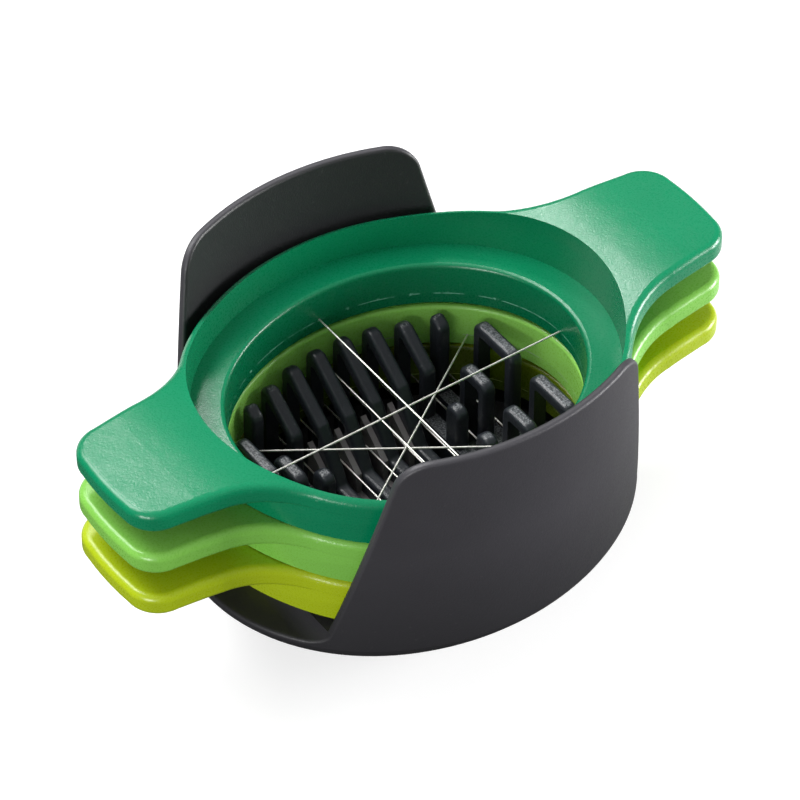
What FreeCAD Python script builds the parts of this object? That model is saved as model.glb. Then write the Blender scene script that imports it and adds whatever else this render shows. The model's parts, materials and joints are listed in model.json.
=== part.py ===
import FreeCAD, Part
import math
import os

# Egg slicer: an oval cup with an egg cradle, and three cutting frames stacked in it.
# Millimetres. The origin is the middle of the underside, +X runs along the handles, +Z is up.

# Cutting frame: heights are measured from the underside of its skirt
mouth_length = 79.0
mouth_width = 64.0
mouth_flare = 0.5
skirt_wall = 3.4
ledge_height = 10.5
ledge_fall = 0.5
ledge_thickness = 2.2
ledge_round = 0.9
rim_length = 95.6
rim_width = 80.6
rim_wall = 1.6
rim_draft = 0.4
crest_height = 17.5
tip_height = 23.0
rise_start = 20.0
rise_end = 62.0
plate_thickness = 5.0
plate_top_round = 1.7
plate_bottom_round = 1.2
band_wall = 1.8
band_taper = 1.0

# Handles of a frame
handle_span = 150.0
handle_bulge = 0.4
handle_tip_width = 30.0
handle_neck_width = 32.6
handle_neck_reach = 57.0
handle_flare_reach = 46.0
handle_flare_width = 39.4
handle_root_reach = 40.0
handle_corner = 7.4

# The stack of frames
stack_pitch = 11.85
seat_gap = 0.25
slice_frame_height = 15.3

# Wires and the seam that holds them
wire_diameter = 0.45
wire_pitch = 6.9
slice_wire_count = 9
wedge_angle = 33.7
wire_layer = 0.5
seam_height = 2.64
wire_slack = 0.06
bead_diameter = 1.5
bead_length = 1.6
bead_inset = 0.9

# Cup
frame_clearance = 0.3
cup_wall = 1.9
bowl_wall = 2.4
cup_floor = 2.6
bowl_height = 16.5
bowl_power = 1.39
foot_inset = 18.5
wall_lean = 0.0523
wall_height = 72.0
wall_top_width = 58.0
wall_foot_width = 80.0
wall_corner = 7.0
notch_height = 17.7
notch_corner = 4.0
edge_round = 0.7

# Cradle
fin_thickness = 3.2
fin_round = 1.0
fin_gap = 1.3
fin_top_height = 40.0
fin_top_fall = 0.003
fin_nose_round = 2.6
fin_shoulder_round = 2.4
fin_seat_reach = 15.6
fin_seat_height = 28.4
fin_seat_rise = 0.0094
fin_foot_reach = 9.0
fin_foot_height = 16.9
post_height = 23.6
post_rise = 0.0137
post_round = 1.2
end_channel = 5.8
side_channel = 4.0
leg_width = 2.4
tray_thickness = 2.5
tray_clearance = 0.4
window_sill = 9.0
window_round = 0.8

# Grey ribs beside the four middle fins
rib_width = 1.35
rib_clearance = 0.05
rib_reach = 17.6
rib_height = 24.3
rib_foot_reach = 9.2
rib_foot_height = 17.2
rib_middle_height = 12.0
rib_count = 4

middle_fin_count = 4
fin_count = 10

# Small steps and clearances between pieces, sections of the cup, and how near counts as touching
flush_step = 0.05
skirt_clearance = 0.5
seam_step = 0.2
well_steps = 6
corner_share = 0.45
touch = 0.01

rim_a = rim_length / 2
rim_b = rim_width / 2
outer_a = rim_a + rim_wall
outer_b = rim_b + rim_wall
mouth_a = mouth_length / 2
mouth_b = mouth_width / 2
cup_a = outer_a + frame_clearance + cup_wall
cup_b = outer_b + frame_clearance + cup_wall
seat_height = slice_frame_height + crest_height - stack_pitch
side_half = side_channel / 2 / math.cos(math.radians(wedge_angle))
far = 2 * handle_span
x_axis = FreeCAD.Vector(1, 0, 0)
y_axis = FreeCAD.Vector(0, 1, 0)
z_axis = FreeCAD.Vector(0, 0, 1)


def point(x, y, z):
    return FreeCAD.Vector(x, y, z)


def oval_wire(a, b, z):
    return Part.Wire(Part.Ellipse(point(0, 0, z), a, b).toShape())


def oval_loft(sections, ruled=True):
    """Solid through ovals given as (half length, half width, height)."""
    return Part.makeLoft([oval_wire(a, b, z) for a, b, z in sections], True, ruled)


def oval_block(a, b, low, high):
    return Part.Face(oval_wire(a, b, low)).extrude(z_axis * (high - low))


def oval_y(a, b, x):
    return b * math.sqrt(1 - (x / a) ** 2)


def rounded_wire(corners, place):
    """Closed outline through corners (u, v, radius); place turns (u, v) into a point.

    A radius is cut down where the sides beside its corner are too short for it.
    """
    edges = []
    ends = []
    count = len(corners)
    for i, (u, v, radius) in enumerate(corners):
        before = corners[i - 1]
        after = corners[(i + 1) % count]
        here = FreeCAD.Vector(u, v, 0)
        back = (FreeCAD.Vector(before[0], before[1], 0) - here).normalize()
        ahead = (FreeCAD.Vector(after[0], after[1], 0) - here).normalize()
        if radius == 0:
            ends.append((here, here))
            continue
        half = back.getAngle(ahead) / 2
        shorter = min(here.distanceToPoint(FreeCAD.Vector(*end[:2], 0)) for end in (before, after))
        radius = min(radius, corner_share * shorter * math.tan(half))
        start = here + back * (radius / math.tan(half))
        stop = here + ahead * (radius / math.tan(half))
        middle = here + (back + ahead).normalize() * (radius / math.sin(half) - radius)
        edges.append((i, Part.Arc(*[place(p.x, p.y) for p in (start, middle, stop)]).toShape()))
        ends.append((start, stop))
    arcs = dict(edges)
    outline = []
    for i in range(count):
        if i in arcs:
            outline.append(arcs[i])
        leave = ends[i][1]
        reach = ends[(i + 1) % count][0]
        outline.append(Part.makeLine(place(leave.x, leave.y), place(reach.x, reach.y)))
    return Part.Wire(outline)


def upright_prism(wire, width, direction):
    """Solid of an upright outline, widened evenly to both sides along direction."""
    face = Part.Face(wire)
    face.translate(direction * (-width / 2))
    return face.extrude(direction * width)


def crest_edges(shift):
    """The saddle line of a frame's top: level in the middle, an S to each handle, level again."""
    run = (rise_end - rise_start) / 2
    lift = (tip_height - crest_height) / 2
    radius = (run ** 2 + lift ** 2) / (2 * lift)
    half_turn = math.asin(run / radius) / 2
    side = radius * math.sin(half_turn)
    drop = radius * (1 - math.cos(half_turn))
    low = crest_height + shift
    high = tip_height + shift

    def at(x, z):
        return point(x, 0, z)

    def right(sign):
        return [
            at(sign * rise_start, low),
            at(sign * (rise_start + side), low + drop),
            at(sign * (rise_start + run), low + lift),
            at(sign * (rise_end - side), high - drop),
            at(sign * rise_end, high),
            at(sign * far, high),
        ]

    points = right(-1)[::-1] + right(1)
    return [
        Part.makeLine(points[0], points[1]),
        Part.Arc(points[1], points[2], points[3]).toShape(),
        Part.Arc(points[3], points[4], points[5]).toShape(),
        Part.makeLine(points[5], points[6]),
        Part.Arc(points[6], points[7], points[8]).toShape(),
        Part.Arc(points[8], points[9], points[10]).toShape(),
        Part.makeLine(points[10], points[11]),
    ]


def crest_slab(low_shift, high_shift):
    """Everything between the saddle line moved by low_shift and by high_shift."""
    top = crest_edges(high_shift)
    bottom = crest_edges(low_shift)
    left = Part.makeLine(bottom[0].firstVertex().Point, top[0].firstVertex().Point)
    right = Part.makeLine(bottom[-1].lastVertex().Point, top[-1].lastVertex().Point)
    return upright_prism(Part.Wire(Part.__sortEdges__(top + bottom + [left, right])), far, y_axis)


def plan_wire():
    """Plan of a frame: an oval with a flared handle at each end."""
    root_y = oval_y(outer_a, outer_b, handle_root_reach)
    tip = handle_span / 2
    shoulder = tip - handle_bulge
    side_y = handle_tip_width / 2
    corner_turn = handle_corner * (1 - math.sqrt(0.5))

    def half(sign):
        root = point(sign * handle_root_reach, root_y, 0)
        flare = point(sign * handle_flare_reach, handle_flare_width / 2, 0)
        neck = point(sign * handle_neck_reach, handle_neck_width / 2, 0)
        side = point(sign * (shoulder - handle_corner), side_y, 0)
        bend = point(sign * (shoulder - corner_turn), side_y - corner_turn, 0)
        end = point(sign * shoulder, side_y - handle_corner, 0)
        middle = point(sign * tip, 0, 0)
        upper = [
            Part.Arc(root, flare, neck).toShape(),
            Part.makeLine(neck, side),
            Part.Arc(side, bend, end).toShape(),
        ]
        lower = [edge.mirror(point(0, 0, 0), y_axis) for edge in upper]
        foot = point(end.x, -end.y, 0)
        return upper + [Part.Arc(end, middle, foot).toShape()] + lower

    oval = Part.Ellipse(point(0, 0, 0), outer_a, outer_b)
    turn = math.acos(handle_root_reach / outer_a)
    back = Part.ArcOfEllipse(oval, turn, math.pi - turn).toShape()
    front = Part.ArcOfEllipse(oval, math.pi + turn, 2 * math.pi - turn).toShape()
    edges = [back, front] + half(1) + half(-1)
    return Part.Wire(Part.__sortEdges__(edges))


def rim_edges(shape):
    """Edges round the outside of a frame's plate, without those that cross it or stand upright."""
    found = []
    for edge in shape.Edges:
        box = edge.BoundBox
        crosses = box.XLength < touch and box.ZLength < touch
        upright = box.XLength < touch and box.YLength < touch
        if not crosses and not upright:
            found.append(edge)
    return found


def crest_z(x):
    """Height of the saddle line."""
    run = (rise_end - rise_start) / 2
    lift = (tip_height - crest_height) / 2
    radius = (run ** 2 + lift ** 2) / (2 * lift)
    along = abs(x) - rise_start
    if along <= 0:
        return crest_height
    if along <= run:
        return crest_height + radius - math.sqrt(radius ** 2 - along ** 2)
    if along <= 2 * run:
        return tip_height - radius + math.sqrt(radius ** 2 - (2 * run - along) ** 2)
    return tip_height


def under_crest(edge):
    """How far an edge's first end lies below the saddle line."""
    end = edge.firstVertex().Point
    return crest_z(end.x) - end.z


def frame_plate():
    """The rim and handles of a frame as one curved plate with rounded edges."""
    plan = Part.Face(plan_wire()).extrude(z_axis * far)
    plate = plan.common(crest_slab(-plate_thickness, 0))
    top = [edge for edge in rim_edges(plate) if under_crest(edge) < plate_thickness / 2]
    plate = plate.makeFillet(plate_top_round, top)
    bottom = [edge for edge in rim_edges(plate) if abs(under_crest(edge) - plate_thickness) < touch]
    return plate.makeFillet(plate_bottom_round, bottom)


def mouth_hollow():
    """The opening of a frame, a little wider at the ledge."""
    return oval_loft([
        (mouth_a - mouth_flare, mouth_b - mouth_flare, -ledge_height),
        (mouth_a + 2 * mouth_flare, mouth_b + 2 * mouth_flare, 2 * ledge_height),
    ])


def frame_blank():
    """A cutting frame before its wires are let in: plate, band, ledge and skirt in one."""
    foot = ledge_height - ledge_fall
    flush_a = outer_a - flush_step
    flush_b = outer_b - flush_step
    band = oval_loft([
        (outer_a - band_taper, outer_b - band_taper, 0),
        (flush_a, flush_b, crest_height - plate_thickness),
        (flush_a, flush_b, tip_height),
    ])
    band = band.common(crest_slab(seat_gap - stack_pitch, -plate_thickness / 2))
    bowl = oval_loft([
        (rim_a - rim_draft, rim_b - rim_draft, foot),
        (rim_a, rim_b, crest_height),
        (rim_a, rim_b, 2 * tip_height),
    ])
    inside_a = outer_a - band_taper - band_wall
    inside_b = outer_b - band_taper - band_wall
    under = oval_block(inside_a, inside_b, -ledge_height, foot)
    web = oval_loft([
        (inside_a + band_wall / 2, inside_b + band_wall / 2, foot - ledge_thickness),
        (inside_a + band_wall / 2, inside_b + band_wall / 2, foot),
        (mouth_a, mouth_b, ledge_height),
    ])
    skirt = oval_block(mouth_a + skirt_wall, mouth_b + skirt_wall, seam_height, foot)
    body = frame_plate().fuse(band).cut(bowl).cut(under)
    body = body.fuse(web).fuse(skirt).cut(mouth_hollow()).removeSplitter()
    ledge_edge = [edge for edge in body.Edges if is_ledge_edge(edge)]
    return body.makeFillet(ledge_round, ledge_edge)


def is_ledge_edge(edge):
    """The level edge where the mouth meets the ledge."""
    end = edge.firstVertex().Point
    across = end.x / (mouth_a + 2 * mouth_flare)
    deep = end.y / (mouth_b + 2 * mouth_flare)
    return across ** 2 + deep ** 2 < 1 and abs(end.z - ledge_height) < mouth_flare


def wire_run(turn, shift):
    """Ends of a wire: it crosses the mouth at an angle, moved sideways by shift."""
    a = mouth_a + bead_inset
    b = mouth_b + bead_inset
    angle = math.radians(turn)
    dx = math.cos(angle)
    dy = math.sin(angle)
    x = shift * dy
    y = -shift * dx
    two = (dx / a) ** 2 + (dy / b) ** 2
    one = x * dx / a ** 2 + y * dy / b ** 2
    none = (x / a) ** 2 + (y / b) ** 2 - 1
    spread = math.sqrt(one ** 2 - two * none)
    stops = [(-one - spread) / two, (-one + spread) / two]
    return [point(x + dx * stop, y + dy * stop, seam_height) for stop in stops]


def rod(start, stop, diameter):
    line = stop - start
    return Part.makeCylinder(diameter / 2, line.Length, start, line)


def cutting_frame(blank, wires, height):
    """Frame, clamp ring, wires and end beads for a list of (turn, sideways shift, layer)."""
    strands = []
    beads = []
    channels = []
    for turn, shift, layer in wires:
        start, stop = [end + z_axis * layer for end in wire_run(turn, shift)]
        along = (stop - start).normalize()
        strands.append(rod(start, stop, wire_diameter))
        for end, away in ((start, along * -1), (stop, along)):
            far_end = end + away * bead_length
            beads.append(rod(end, far_end, bead_diameter))
            slack = away * wire_slack
            channels.append(rod(end - slack, far_end + slack, bead_diameter + 2 * wire_slack))
            channels.append(rod(end - away * 2 * skirt_wall, end, wire_diameter + 2 * wire_slack))
    clamp = oval_block(mouth_a + skirt_wall, mouth_b + skirt_wall, 0, seam_height)
    clamp = clamp.cut(oval_block(mouth_a + seam_step, mouth_b + seam_step, -touch, seam_height + touch))
    pieces = [blank.cut(channels), clamp.cut(channels), Part.makeCompound(beads)] + strands
    for piece in pieces:
        piece.translate(z_axis * height)
    return pieces


def cup_section(z, inset):
    """Oval of the cup's outside at a height, moved in by inset: a bowl with a flaring wall on it."""
    if z < bowl_height:
        grow = -foot_inset * ((bowl_height - z) / bowl_height) ** bowl_power
    else:
        grow = wall_lean * (z - bowl_height)
    return (cup_a + grow - inset, cup_b + grow - inset, z)


def spaced(low, high, steps):
    return [low + (high - low) * i / steps for i in range(steps + 1)]


def cup_well(clearance, top):
    """Hollow of the bowl below the frame's seat, drawn in by a clearance and carried up to top."""
    narrow_a = mouth_a + skirt_wall + skirt_clearance
    narrow_b = mouth_b + skirt_wall + skirt_clearance
    sections = []
    for z in spaced(cup_floor, seat_height, well_steps):
        a, b, level = cup_section(z, bowl_wall)
        sections.append((min(a, narrow_a) - clearance, min(b, narrow_b) - clearance, level))
    if top > seat_height:
        sections.append((narrow_a - clearance, narrow_b - clearance, top))
    return oval_loft(sections)


def base_cup():
    """Oval bowl with two tall side walls, a notch at each end and a seat for the slice frame."""
    above = wall_height + wall_corner
    bowl = oval_loft([cup_section(z, 0) for z in spaced(0, bowl_height, well_steps)], False)
    wall = oval_loft([cup_section(z, 0) for z in (bowl_height, above)])
    room = oval_loft([cup_section(z, cup_wall) for z in (seat_height, above)])
    outline = [
        (-far, -bowl_height, 0),
        (far, -bowl_height, 0),
        (far, notch_height, 0),
        (wall_foot_width / 2, notch_height, notch_corner),
        (wall_top_width / 2, wall_height, wall_corner),
        (-wall_top_width / 2, wall_height, wall_corner),
        (-wall_foot_width / 2, notch_height, notch_corner),
        (-far, notch_height, 0),
    ]
    kept = upright_prism(rounded_wire(outline, lambda x, z: point(x, 0, z)), far, y_axis)
    hollow = room.fuse(cup_well(0, seat_height))
    cup = bowl.fuse(wall).cut(hollow).common(kept)
    return cup.makeFillet(edge_round, [edge for edge in cup.Edges if is_wall_edge(edge)])


def is_wall_edge(edge):
    """Edges of the wall tops and notches outside, and of the wall tops inside."""
    ends = [edge.firstVertex().Point, edge.lastVertex().Point]
    outside = min(end.z for end in ends) > notch_height - touch and on_cup(ends, 0)
    inside = max(end.z for end in ends) > seat_height + touch and on_cup(ends, cup_wall)
    return outside or inside


def on_cup(ends, inset):
    """Whether both ends lie on the cup's oval at their heights."""
    for end in ends:
        a, b, _ = cup_section(end.z, inset)
        if abs((end.x / a) ** 2 + (end.y / b) ** 2 - 1) * b > touch:
            return False
    return True


def fin_crest(x):
    """Top outline of a fin on the back half, from its nose to the middle: (y, z, radius)."""
    nose = oval_y(mouth_a - fin_gap, mouth_b - fin_gap, x)
    seat = fin_seat_height + fin_seat_rise * x ** 2
    post = post_height + post_rise * x ** 2
    if fin_seat_reach + fin_nose_round > nose:
        return [(nose, post, post_round)]
    low = post
    if is_middle_fin(x):
        low = fin_foot_height
    drop = (fin_seat_height - fin_foot_height) / (fin_seat_reach - fin_foot_reach)
    return [
        (nose, fin_top_height - fin_top_fall * x ** 2, fin_nose_round),
        (fin_seat_reach, seat, post_round),
        (fin_seat_reach - (seat - low) / drop, low, post_round),
    ]


def is_middle_fin(x):
    return abs(x) < middle_fin_count / 2 * wire_pitch


def fin(x):
    """One upright fin across the cradle, open in the wire channels, with windows under its tops."""
    crest = fin_crest(x)
    foot = cup_floor + tray_thickness / 2
    if is_middle_fin(x):
        back = [(crest[0][0], foot, 0)] + crest
        front = [(-y, z, radius) for y, z, radius in back[::-1]]
        whole = fin_block(x, back + front, foot)
    else:
        nose = crest[0][0]
        corner = point(x - fin_thickness / 2, -nose, foot)
        bar = Part.makeBox(fin_thickness, 2 * nose, fin_foot_height - foot, corner)
        whole = bar.fuse([fin_block(x, outline, foot) for outline in lump_outlines(x, crest, foot)])
    for window in fin_windows(x, crest):
        whole = whole.cut(window)
    return whole


def fin_block(x, outline, foot):
    """Upright plate with a given outline (y, z, radius) and rounded edges."""
    plate = upright_prism(rounded_wire(outline, lambda y, z: point(x, y, z)), fin_thickness, x_axis)
    return plate.makeFillet(fin_round, [edge for edge in plate.Edges if is_fin_edge(edge, foot)])


def lump_outlines(x, crest, foot):
    """Outlines of what stands between the channels of an outer fin, on both halves."""
    nose = crest[0][0]
    near, beyond = channel_sides(x)
    outlines = []
    for start, stop in ((end_channel / 2, min(nose, near)), (beyond, nose)):
        if stop - start < fin_thickness:
            continue
        knees = [(y, z, radius) for y, z, radius in crest[1:] if start + fin_round < y < stop - fin_round]
        tops = [(stop, crest_level(crest, stop), fin_shoulder_round)] + knees
        tops.append((start, crest_level(crest, start), fin_shoulder_round))
        back = [(stop, foot, 0)] + tops + [(start, foot, 0)]
        outlines.append(back)
        outlines.append([(-y, z, radius) for y, z, radius in back[::-1]])
    return outlines


def channel_sides(x):
    """How far from the middle the near and far sides of a slanting wire's channel are on a fin."""
    slant = fin_thickness / 2 * math.tan(math.radians(wedge_angle))
    return side_line(x) - side_half - slant, side_line(x) + side_half + slant


def crest_level(crest, y):
    """Height of a fin's top outline at a distance from the middle."""
    for (outer_y, outer_z, _), (inner_y, inner_z, _) in zip(crest, crest[1:]):
        if inner_y <= y <= outer_y:
            return inner_z + (outer_z - inner_z) * (y - inner_y) / (outer_y - inner_y)
    return crest[-1][1]


def side_line(x):
    """How far from the middle the line of the slanting wires is."""
    return abs(x) * math.tan(math.radians(wedge_angle))


def is_fin_edge(edge, foot):
    """Edges along the two faces of a fin, without those at its foot."""
    box = edge.BoundBox
    return box.XLength < touch and box.ZMax > foot + touch


def fin_windows(x, crest):
    """Openings through a fin, a leg's width from its channels, nose and top."""
    nose, top, _ = crest[0]
    near, beyond = channel_sides(x)
    inner = end_channel / 2 + leg_width
    openings = []
    if len(crest) > 1:
        slope = (top - crest[1][1]) / (nose - crest[1][0])
        post = crest[2][1]
        outer_leg = max(fin_seat_reach, beyond + leg_width)
        openings.append((outer_leg, nose - leg_width, top - slope * leg_width, slope))
        openings.append((inner, near - leg_width, post, 0))
    else:
        openings.append((inner, min(nose, near) - leg_width, top, 0))
    windows = []
    for inner, outer, over, slope in openings:
        if outer - inner < 3 * window_round:
            continue
        high = over - leg_width * math.sqrt(1 + slope ** 2)
        low = high - slope * (outer - inner)
        corners = [
            (outer, window_sill, window_round),
            (outer, high, window_round),
            (inner, low, window_round),
            (inner, window_sill, window_round),
        ]
        for side in (1, -1):
            mirrored = [(side * y, z, radius) for y, z, radius in corners]
            wire = rounded_wire(mirrored, lambda y, z: point(x, y, z))
            windows.append(upright_prism(wire, 2 * fin_thickness, x_axis))
    return windows


def fin_places():
    return [(i - (fin_count - 1) / 2) * wire_pitch for i in range(fin_count)]


def egg_cradle():
    """Tray that lies on the cup's floor, with the fins standing on it."""
    tray = oval_block(far, far / 2, cup_floor, cup_floor + tray_thickness)
    whole = tray.fuse([fin(x) for x in fin_places()])
    return whole.common(cup_well(tray_clearance, wall_height)).removeSplitter()


def cradle_ribs():
    """Grey ribs that stand on the tray against the left face of the middle fins."""
    half = [
        (rib_reach, cup_floor + tray_thickness, 0),
        (rib_reach, rib_height, 0),
        (rib_foot_reach, rib_foot_height, 0),
        (rib_foot_reach, rib_middle_height, 0),
    ]
    outline = half + [(-y, z, radius) for y, z, radius in half[::-1]]
    first = (fin_count - rib_count) // 2
    ribs = []
    for x in fin_places()[first:first + rib_count]:
        middle = x - (fin_thickness + rib_width) / 2 - rib_clearance
        wire = rounded_wire(outline, lambda y, z: point(middle, y, z))
        ribs.append(upright_prism(wire, rib_width, x_axis))
    return Part.makeCompound(ribs)


def slice_wires():
    middle = (slice_wire_count - 1) / 2
    return [(90, (i - middle) * wire_pitch, 0) for i in range(slice_wire_count)]


def save(name, shape):
    shape.exportStep("parts/" + name + ".step")


frames = [
    ("slice", slice_wires(), [str(i + 1) for i in range(slice_wire_count)]),
    ("wedge", [(90, 0, wire_layer), (wedge_angle, 0, 0), (-wedge_angle, 0, -wire_layer)],
     ["crosswise", "left", "right"]),
    ("quarter", [(90, 0, wire_layer / 2), (0, 0, -wire_layer / 2)], ["crosswise", "lengthwise"]),
]

os.makedirs("parts", exist_ok=True)
save("base_cup", base_cup())
save("egg_cradle", egg_cradle())
save("cradle_ribs", cradle_ribs())
blank = frame_blank()
for level, (name, wires, wire_names) in enumerate(frames):
    pieces = cutting_frame(blank, wires, slice_frame_height + level * stack_pitch)
    endings = ["frame", "clamp_ring", "wire_beads"] + ["wire_" + wire_name for wire_name in wire_names]
    for ending, piece in zip(endings, pieces):
        save(name + "_" + ending, piece)
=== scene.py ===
import bpy
import json
from mathutils import Matrix, Vector

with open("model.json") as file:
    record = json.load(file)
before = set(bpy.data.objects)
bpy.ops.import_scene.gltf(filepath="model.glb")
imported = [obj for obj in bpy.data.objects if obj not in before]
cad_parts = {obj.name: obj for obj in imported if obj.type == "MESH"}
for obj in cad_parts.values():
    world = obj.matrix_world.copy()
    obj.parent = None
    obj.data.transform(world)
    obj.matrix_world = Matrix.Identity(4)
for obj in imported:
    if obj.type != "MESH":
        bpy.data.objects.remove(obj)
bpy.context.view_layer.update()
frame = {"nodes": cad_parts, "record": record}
nodes = frame["nodes"]
scene = bpy.context.scene
print("frame loaded:", len(nodes), "nodes")


# Camera, fitted to the outlines of the photograph: metres, with the lens and the sensor in millimetres

camera = {
    "place": (-0.41809, -0.58498, 0.73739),
    "right": (0.81565, -0.57854, 0.00168),
    "up": (0.40080, 0.56714, 0.71952),
    "lens": 215.56,
    "sensor": 36.0,
    "near": 0.05,
    "far": 50.0,
}


def makeCamera(c):
    data = bpy.data.cameras.new("camera")
    data.lens = c["lens"]
    data.sensor_width = c["sensor"]
    data.clip_start = c["near"]
    data.clip_end = c["far"]
    obj = bpy.data.objects.new("camera", data)
    scene.collection.objects.link(obj)
    right = Vector(c["right"]).normalized()
    up = Vector(c["up"]).normalized()
    back = right.cross(up)
    turn = Matrix((right, up, back)).transposed().to_4x4()
    obj.matrix_world = Matrix.Translation(c["place"]) @ turn
    scene.camera = obj


makeCamera(camera)
print("camera placed")


# Node helpers: a value is either a socket to link or a number to set

def feed(tree, socket, value):
    if hasattr(value, "links"):
        tree.links.new(value, socket)
    else:
        socket.default_value = value


def newGroup(name, inputs, outputs):
    group = bpy.data.node_groups.new(name, "ShaderNodeTree")
    for label, value in inputs.items():
        socket = group.interface.new_socket(label, in_out="INPUT", socket_type="NodeSocketFloat")
        socket.default_value = value
    for label, kind in outputs.items():
        group.interface.new_socket(label, in_out="OUTPUT", socket_type=kind)
    source = group.nodes.new("NodeGroupInput").outputs
    sink = group.nodes.new("NodeGroupOutput").inputs
    return group, source, sink


def addNode(tree, kind, feeds=None, **values):
    node = tree.nodes.new(kind)
    for key, value in values.items():
        setattr(node, key, value)
    for key, value in (feeds or {}).items():
        feed(tree, node.inputs[key], value)
    return node


def addPlace(tree):
    return addNode(tree, "ShaderNodeTexCoord").outputs["Object"]


def addParts(tree, vector):
    return addNode(tree, "ShaderNodeSeparateXYZ", {"Vector": vector}).outputs


def addNoise(tree, where, scale, detail, rough):
    return addNode(tree, "ShaderNodeTexNoise", {
        "Vector": where, "Scale": scale, "Detail": detail, "Roughness": rough,
    }).outputs["Fac"]


def addRange(tree, value, low, high, outLow=0.0, outHigh=1.0):
    return addNode(tree, "ShaderNodeMapRange", {
        "Value": value, "From Min": low, "From Max": high, "To Min": outLow, "To Max": outHigh,
    }).outputs["Result"]


def addMath(tree, operation, first, second=0.0):
    return addNode(tree, "ShaderNodeMath", {0: first, 1: second}, operation=operation).outputs[0]


def addDot(tree, first, second):
    made = addNode(tree, "ShaderNodeVectorMath", {0: first, 1: second}, operation="DOT_PRODUCT")
    return made.outputs["Value"]


def addMix(tree, factor, first, second):
    factorInput, firstInput, secondInput, colourOutput = 0, 6, 7, 2
    made = addNode(tree, "ShaderNodeMix", data_type="RGBA")
    for index, value in ((factorInput, factor), (firstInput, first), (secondInput, second)):
        feed(tree, made.inputs[index], value)
    return made.outputs[colourOutput]


def rgba(r, g, b):
    return (r, g, b, 1.0)


def grey(level):
    return rgba(level, level, level)


# Where a noise starts and where it is full, for every mix and roughness that follows it
noiseSpread = (0.3, 0.7)


# Moulded grain: fine grain and slow swells pressed into the normal, a cloud for the colour, and flecks of dust

grainNoise = {
    "fine": {"detail": 2.0, "rough": 0.55},
    "cloud": {"scale": 38.0, "detail": 4.0, "rough": 0.55},
    "swell": {"scale": 160.0, "detail": 2.0, "rough": 0.4},
    "fleck": {"scale": 900.0, "detail": 1.0, "rough": 0.4},
}
fleckSpread = (0.72, 0.8)
grainDepth = 0.0002
swellDepth = 0.002


def makeGrainGroup():
    group, source, sink = newGroup("moulded grain", {"Grain": 0.2, "Size": 2200.0, "Swell": 0.1}, {
        "Normal": "NodeSocketVector", "Fine": "NodeSocketFloat", "Cloud": "NodeSocketFloat",
        "Fleck": "NodeSocketFloat",
    })
    where = addPlace(group)
    fine = addNoise(group, where, source["Size"], **grainNoise["fine"])
    cloud = addNoise(group, where, **grainNoise["cloud"])
    swell = addNoise(group, where, **grainNoise["swell"])
    fleck = addRange(group, addNoise(group, where, **grainNoise["fleck"]), *fleckSpread)
    pressed = addNode(group, "ShaderNodeBump", {
        "Strength": source["Grain"], "Distance": grainDepth, "Height": fine,
    }).outputs["Normal"]
    normal = addNode(group, "ShaderNodeBump", {
        "Strength": source["Swell"], "Distance": swellDepth, "Height": swell, "Normal": pressed,
    }).outputs["Normal"]
    for label, value in (("Normal", normal), ("Fine", fine), ("Cloud", cloud), ("Fleck", fleck)):
        group.links.new(value, sink[label])
    return group


# Seam marks: a broken pale line round the mouth at one height, partly mould burrs and partly painted highlight
# on the seam gap, with a brighter painted highlight dot at each wire notch.
# Each pair of distances says where a mark ends and where it is full

seamLine = (0.0002, 0.0001)
seamBreaks = {"scale": 300.0, "detail": 3.0, "rough": 0.5}
seamBreakSpread = (0.44, 0.56)
notchWidth = (0.07, 0.03)
notchHeight = (0.0005, 0.0002)
notchPatches = {"scale": 700.0, "detail": 2.0, "rough": 0.5}
notchPatchSpread = (0.42, 0.55)
seamHighlightStrength = 0.9


def makeSeamGroup():
    group, source, sink = newGroup("seam marks", {"Height": 0.04, "Pitch": 0.0069}, {"Mask": "NodeSocketFloat"})
    where = addPlace(group)
    parts = addParts(group, where)
    away = addMath(group, "ABSOLUTE", addMath(group, "SUBTRACT", parts["Z"], source["Height"]))
    breaks = addRange(group, addNoise(group, where, **seamBreaks), *seamBreakSpread)
    line = addMath(group, "MULTIPLY", addRange(group, away, *seamLine), breaks)
    halfPitch = 0.5
    along = addMath(group, "PINGPONG", addMath(group, "DIVIDE", parts["X"], source["Pitch"]), halfPitch)
    dot = addMath(group, "MULTIPLY", addRange(group, along, *notchWidth), addRange(group, away, *notchHeight))
    patches = addRange(group, addNoise(group, where, **notchPatches), *notchPatchSpread)
    marks = addMath(group, "MAXIMUM", line, addMath(group, "MULTIPLY", dot, patches))
    group.links.new(marks, sink["Mask"])
    return group


grainGroup = makeGrainGroup()
seamGroup = makeSeamGroup()


# Masks of the plastics: painted shade on the cup's foot, painted shade and painted light on the walls that face
# the middle, and painted sheen as pale speckles on the upward-facing tops of the outer fins

footHeights = (0.045, 0.004)
inwardShadingFacing = (-0.012, -0.03)
sheenTopFacing = (0.93, 0.99)
sheenTopReach = (0.013, 0.016)
sheenSpeckleNoise = {"scale": 2600.0, "detail": 2.0, "rough": 0.7}
sheenSpeckleSpread = (0.42, 0.66)


# Painted shade: the cup's colour darkens towards the bottom
def footMask(tree):
    return addRange(tree, addParts(tree, addPlace(tree))["Z"], *footHeights)


# Painted shade and painted light on walls that face the middle: darker colours stand in for shade inside the
# frames and cup, the wedge's paler one for light through its plastic
def inwardShadingMask(tree):
    flatten = (1.0, 1.0, 0.0)
    outward = addNode(tree, "ShaderNodeVectorMath", {0: addPlace(tree), 1: flatten}, operation="MULTIPLY")
    normal = addNode(tree, "ShaderNodeNewGeometry").outputs["Normal"]
    return addRange(tree, addDot(tree, normal, outward.outputs["Vector"]), *inwardShadingFacing)


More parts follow.
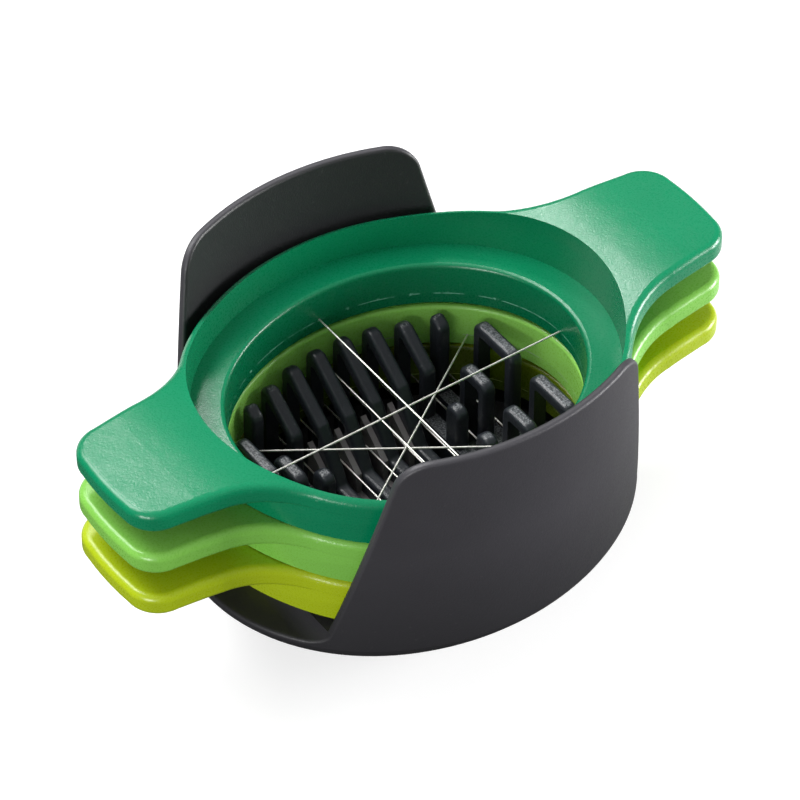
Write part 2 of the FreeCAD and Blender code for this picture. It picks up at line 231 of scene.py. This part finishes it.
# Painted sheen: pale speckles on the upward-facing tops of the outer fins stand in for light glancing off their
# grain
def sheenSpeckleMask(tree):
    where = addPlace(tree)
    level = addParts(tree, addNode(tree, "ShaderNodeNewGeometry").outputs["Normal"])["Z"]
    reach = addMath(tree, "ABSOLUTE", addParts(tree, where)["X"])
    sheenTops = addMath(tree, "MULTIPLY", addRange(tree, level, *sheenTopFacing), addRange(tree, reach, *sheenTopReach))
    spots = addRange(tree, addNoise(tree, where, **sheenSpeckleNoise), *sheenSpeckleSpread)
    return addMath(tree, "MULTIPLY", sheenTops, spots)


# Materials

plasticGloss = 0.5
plasticRoughSwing = 0.05
steelStreaks = {"scale": 1500.0, "detail": 2.0, "rough": 0.6}
steelRough = (0.42, 0.58)


def newMaterial(name):
    material = bpy.data.materials.new(name)
    material.use_nodes = True
    tree = material.node_tree
    tree.nodes.clear()
    output = tree.nodes.new("ShaderNodeOutputMaterial")
    shader = tree.nodes.new("ShaderNodeBsdfPrincipled")
    tree.links.new(shader.outputs["BSDF"], output.inputs["Surface"])
    return material, tree, shader


def plastic(name, look):
    material, tree, shader = newMaterial(name)
    grain = addNode(tree, "ShaderNodeGroup", node_tree=grainGroup)
    for label, key in (("Grain", "grain"), ("Size", "size"), ("Swell", "swell")):
        grain.inputs[label].default_value = look[key]
    cloud = addRange(tree, grain.outputs["Cloud"], *noiseSpread)
    colour = addMix(tree, cloud, rgba(*look["deep"]), rgba(*look["main"]))
    # Dust flecks are real; the seam marks and fin-top speckles mixed in below use the same pale colour as
    # painted highlight and painted sheen
    dust_and_highlight = addMath(tree, "MULTIPLY", grain.outputs["Fleck"], look["fleck"])
    # Painted highlight along the seam, partly mould burrs
    if "seam" in look:
        seam = addNode(tree, "ShaderNodeGroup", node_tree=seamGroup)
        seam.inputs["Height"].default_value = look["seam"]
        dust_and_highlight = addMath(tree, "MAXIMUM", dust_and_highlight, addMath(tree, "MULTIPLY", seam.outputs["Mask"], seamHighlightStrength))
    # Painted shade: darker towards the foot
    if "foot" in look:
        colour = addMix(tree, footMask(tree), colour, rgba(*look["foot"]))
    # Painted shade on the inner walls, painted light on the wedge's
    if "inside" in look:
        colour = addMix(tree, inwardShadingMask(tree), colour, rgba(*look["inside"]))
    # Painted sheen: pale speckles on the tops of the outer fins
    if "sheen_speckle" in look:
        dust_and_highlight = addMath(tree, "MAXIMUM", dust_and_highlight, addMath(tree, "MULTIPLY", sheenSpeckleMask(tree), look["sheen_speckle"]))
    rough = addRange(tree, grain.outputs["Fine"], *noiseSpread,
                     look["rough"] - plasticRoughSwing, look["rough"] + plasticRoughSwing)
    feed(tree, shader.inputs["Base Color"], addMix(tree, dust_and_highlight, colour, rgba(*look["dust_and_highlight"])))
    feed(tree, shader.inputs["Roughness"], rough)
    feed(tree, shader.inputs["Normal"], grain.outputs["Normal"])
    feed(tree, shader.inputs["Specular IOR Level"], plasticGloss)
    return material


def steel(name, look):
    material, tree, shader = newMaterial(name)
    streak = addNoise(tree, addPlace(tree), **steelStreaks)
    colour = addMix(tree, addRange(tree, streak, *noiseSpread), rgba(*look["deep"]), rgba(*look["main"]))
    feed(tree, shader.inputs["Base Color"], colour)
    feed(tree, shader.inputs["Metallic"], 1.0)
    feed(tree, shader.inputs["Roughness"], addRange(tree, streak, *noiseSpread, *steelRough))
    return material


frameFinish = {"grain": 0.2, "size": 2300.0, "swell": 0.05, "fleck": 0.05, "rough": 0.29}
baseFinish = {"grain": 0.2, "size": 2400.0, "swell": 0.04, "fleck": 0.12, "rough": 0.48}
cradleFinish = {"grain": 0.35, "size": 2200.0, "swell": 0.08, "fleck": 0.1, "rough": 0.34}
ribFinish = {"grain": 0.3, "size": 2200.0, "swell": 0.08, "fleck": 0.1, "rough": 0.5}
looks = {
    "quarter_plastic": {
        **frameFinish, "main": (0.001, 0.225, 0.096), "deep": (0.0, 0.205, 0.086), "dust_and_highlight": (0.25, 0.6, 0.45),
        # inside: painted shade on the inner walls
        "inside": (0.0, 0.155, 0.062), "seam": 0.04164,
    },
    "wedge_plastic": {
        **frameFinish, "main": (0.225, 0.56, 0.085), "deep": (0.205, 0.52, 0.075), "dust_and_highlight": (0.5, 0.7, 0.4),
        # inside: painted light, paler than the main colour
        "inside": (0.33, 0.74, 0.13), "seam": 0.02979,
    },
    "slice_plastic": {
        **frameFinish, "main": (0.42, 0.54, 0.010), "deep": (0.39, 0.50, 0.008), "dust_and_highlight": (0.6, 0.7, 0.3),
        # inside: painted shade on the inner walls
        "inside": (0.13, 0.19, 0.006), "seam": 0.01794,
    },
    "base_plastic": {
        **baseFinish, "main": (0.047, 0.0455, 0.0525), "deep": (0.041, 0.0395, 0.046),
        # inside: painted shade on the inner walls; foot: painted shade towards the bottom
        "dust_and_highlight": (0.12, 0.12, 0.12), "inside": (0.014, 0.015, 0.016), "foot": (0.018, 0.018, 0.020),
    },
    "cradle_plastic": {
        **cradleFinish, "main": (0.027, 0.030, 0.037), "deep": (0.016, 0.019, 0.025),
        # The speckle amount paints sheen on the fin tops in the pale dust colour
        "dust_and_highlight": (0.36, 0.37, 0.39), "sheen_speckle": 0.65,
    },
    "rib_plastic": {
        **ribFinish, "main": (0.21, 0.195, 0.20), "deep": (0.18, 0.165, 0.17), "dust_and_highlight": (0.3, 0.3, 0.3),
    },
}
materials = {name: plastic(name, look) for name, look in looks.items()}
materials["wire_steel"] = steel("wire_steel", {"main": (0.92, 0.90, 0.85), "deep": (0.74, 0.72, 0.68)})
print("materials made:", len(materials))

for part in frame["record"]["subparts"]:
    slots = nodes[part["node"]].data.materials
    slots.clear()
    slots.append(materials[part["material_slot"]])
print("materials assigned")


# Floor: white paper to the camera, and to every other ray a sweep from dark at the front left to pale behind

floorReach = 6.0
paperNoise = {"scale": 3.0, "detail": 3.0, "rough": 0.5}
paperGreys = (0.44, 0.46)
paperGlow = 0.71
paperRough = 0.9
sweepDirection = (0.8, 0.6, 0.0)
sweepSpan = (-0.02, 0.14)
sweepGreys = (0.07, 0.75)


def makeFloor():
    mesh = bpy.data.meshes.new("floor")
    corners = [(x * floorReach, y * floorReach, 0) for x, y in ((-1, -1), (1, -1), (1, 1), (-1, 1))]
    mesh.from_pydata(corners, [], [(0, 1, 2, 3)])
    floor = bpy.data.objects.new("floor", mesh)
    scene.collection.objects.link(floor)
    material, tree, shader = newMaterial("floor paper")
    where = addPlace(tree)
    seen = addNode(tree, "ShaderNodeLightPath").outputs["Is Camera Ray"]
    paper = addMix(tree, addNoise(tree, where, **paperNoise), *map(grey, paperGreys))
    sweep = addRange(tree, addDot(tree, where, sweepDirection), *sweepSpan)
    dim = addMix(tree, sweep, *map(grey, sweepGreys))
    feed(tree, shader.inputs["Base Color"], addMix(tree, seen, dim, paper))
    feed(tree, shader.inputs["Emission Color"], grey(1.0))
    feed(tree, shader.inputs["Emission Strength"], addMath(tree, "MULTIPLY", seen, paperGlow))
    feed(tree, shader.inputs["Roughness"], paperRough)
    feed(tree, shader.inputs["Specular IOR Level"], 0.0)
    mesh.materials.append(material)


# World and lights: a dim sky that the camera sees as white, and softboxes aimed at the middle of the object

skyGlow = {"horizon": 0.05, "zenith": 0.40}
lightAim = (0.0, 0.0, 0.04)
softboxes = {
    "key softbox": {"direction": (-0.30, 0.50, 0.81), "distance": 1.4, "size": (0.8, 0.8), "watts": 21.0},
    "sheen softbox": {"direction": (0.20, 0.573, 0.795), "distance": 1.4, "size": (0.18, 0.18), "watts": 4.6},
    "left softbox": {"direction": (-0.80, -0.45, 0.22), "distance": 1.6, "size": (0.7, 0.5), "watts": 16.0},
    "edge softbox": {"direction": (-0.55, -0.42, 0.72), "distance": 1.6, "size": (0.15, 0.15), "watts": 0.5},
    "right softbox": {"direction": (0.85, -0.45, 0.20), "distance": 1.5, "size": (0.8, 0.5), "watts": 32.0},
}


def makeWorld(horizon, zenith):
    world = bpy.data.worlds.new("studio")
    world.use_nodes = True
    scene.world = world
    tree = world.node_tree
    tree.nodes.clear()
    output = tree.nodes.new("ShaderNodeOutputWorld")
    shade = addNode(tree, "ShaderNodeBackground", {"Color": grey(1.0)})
    height = addParts(tree, addNode(tree, "ShaderNodeTexCoord").outputs["Generated"])["Z"]
    glow = addRange(tree, height, 0.0, 1.0, horizon, zenith)
    seen = addNode(tree, "ShaderNodeLightPath").outputs["Is Camera Ray"]
    feed(tree, shade.inputs["Strength"], addMath(tree, "MAXIMUM", seen, glow))
    tree.links.new(shade.outputs["Background"], output.inputs["Surface"])


def makeSoftbox(name, direction, distance, size, watts):
    data = bpy.data.lights.new(name, "AREA")
    data.shape = "RECTANGLE"
    data.size, data.size_y = size
    data.energy = watts
    lamp = bpy.data.objects.new(name, data)
    away = Vector(direction).normalized()
    lamp.location = Vector(lightAim) + away * distance
    lamp.rotation_mode = "QUATERNION"
    lamp.rotation_quaternion = away.to_track_quat("Z", "Y")
    scene.collection.objects.link(lamp)


makeFloor()
makeWorld(**skyGlow)
for name, setup in softboxes.items():
    makeSoftbox(name, **setup)
scene.view_settings.view_transform = "Standard"
print("floor and lights placed:", len(softboxes), "softboxes")
